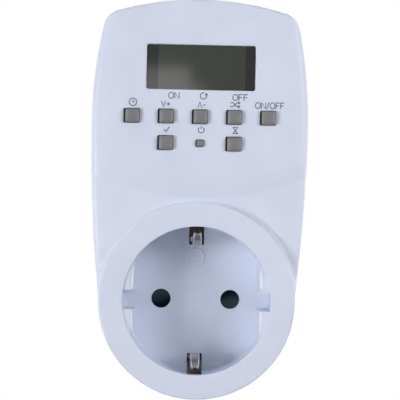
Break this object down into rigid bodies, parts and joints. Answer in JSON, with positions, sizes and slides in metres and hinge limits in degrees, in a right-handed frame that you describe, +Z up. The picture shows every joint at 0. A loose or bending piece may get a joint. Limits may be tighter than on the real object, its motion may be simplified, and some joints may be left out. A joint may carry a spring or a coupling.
{
  "type": "plug-in timer switch",
  "caption": "White plug-in digital timer switch: arched control panel with display and grey keys above a round earthed socket, with an earthed two-pin plug behind.",
  "frame": {"origin": "centre of the plug's engagement face, on the common axis of the plug and the socket", "axes": "+Y out of the plug's face into the wall socket, so the user sees the front along +Y; +Z up the case; +X to the user's right"},
  "size_m": [0.058, 0.076, 0.1068],
  "materials": {
    "housing_white": "fine moulded gloss",
    "key_grey": "satin",
    "dark_plastic": "satin",
    "nickel": "nickel plated",
    "brass": "stamped",
    "steel": "zinc plated",
    "spring_steel": "drawn wire",
    "lens": "clear moulded window, tinted by the display behind",
    "display": "unlit liquid crystal",
    "silicone": "moulded",
    "zebra": "layered",
    "board": "solder mask",
    "resin": "cast",
    "relay_case": "moulded",
    "film_yellow": "cast",
    "sleeve_blue": "shrunk sleeve",
    "varistor_blue": "dipped"
  },
  "bodies": {
    "case": {"front_housing": "housing_white", "rear_housing": "housing_white", "housing_screws": "steel", "socket_cup": "housing_white", "shutter_spring": "spring_steel", "contact_carrier": "dark_plastic", "carrier_screws": "steel", "plug_pin_line": "nickel", "plug_pin_neutral": "nickel", "line_contact": "brass", "neutral_contact": "brass", "line_strip": "brass", "neutral_strip": "brass", "earth_contact_top": "nickel", "earth_contact_bottom": "nickel", "earth_bridge": "nickel", "display_lens": "lens", "display_glass": "display", "display_frame": "dark_plastic", "display_connectors": "zebra", "key_mat": "silicone", "control_board": "board", "controller_chip": "resin", "clock_crystal": "steel", "control_board_screws": "steel", "power_board": "board", "power_board_screws": "steel", "relay": "relay_case", "film_capacitor": "film_yellow", "smoothing_capacitor": "sleeve_blue", "varistor": "varistor_blue", "rectifier_diodes": "resin", "backup_cell": "steel", "board_link": "dark_plastic"},
    "shutter_body": {"shutter": "dark_plastic"},
    "key_clock_body": {"key_clock": "key_grey"},
    "key_plus_body": {"key_plus": "key_grey"},
    "key_minus_body": {"key_minus": "key_grey"},
    "key_random_body": {"key_random": "key_grey"},
    "key_on_off_body": {"key_on_off": "key_grey"},
    "key_set_body": {"key_set": "key_grey"},
    "key_reset_body": {"key_reset": "key_grey"},
    "key_countdown_body": {"key_countdown": "key_grey"}
  },
  "joints": [
    {"name": "press_clock", "type": "slide", "parent": "case", "child": "key_clock_body", "axis": [0, 1, 0], "range_m": [0, 0.0008], "stiffness_N_per_m": 250, "deforming": ["key_mat"]},
    {"name": "press_plus", "type": "slide", "parent": "case", "child": "key_plus_body", "axis": [0, 1, 0], "range_m": [0, 0.0008], "stiffness_N_per_m": 250, "deforming": ["key_mat"]},
    {"name": "press_minus", "type": "slide", "parent": "case", "child": "key_minus_body", "axis": [0, 1, 0], "range_m": [0, 0.0008], "stiffness_N_per_m": 250, "deforming": ["key_mat"]},
    {"name": "press_random", "type": "slide", "parent": "case", "child": "key_random_body", "axis": [0, 1, 0], "range_m": [0, 0.0008], "stiffness_N_per_m": 250, "deforming": ["key_mat"]},
    {"name": "press_on_off", "type": "slide", "parent": "case", "child": "key_on_off_body", "axis": [0, 1, 0], "range_m": [0, 0.0008], "stiffness_N_per_m": 250, "deforming": ["key_mat"]},
    {"name": "press_set", "type": "slide", "parent": "case", "child": "key_set_body", "axis": [0, 1, 0], "range_m": [0, 0.0008], "stiffness_N_per_m": 250, "deforming": ["key_mat"]},
    {"name": "press_reset", "type": "slide", "parent": "case", "child": "key_reset_body", "axis": [0, 1, 0], "range_m": [0, 0.0008], "stiffness_N_per_m": 250, "deforming": ["key_mat"]},
    {"name": "press_countdown", "type": "slide", "parent": "case", "child": "key_countdown_body", "axis": [0, 1, 0], "range_m": [0, 0.0008], "stiffness_N_per_m": 250, "deforming": ["key_mat"]},
    {"name": "shutter_turn", "type": "hinge", "parent": "case", "child": "shutter_body", "pos_m": [0, -0.035, 0], "axis": [0, 1, 0], "range_deg": [0, 35], "stiffness_Nm_per_rad": 0.004, "deforming": ["shutter_spring"]}
  ]
}
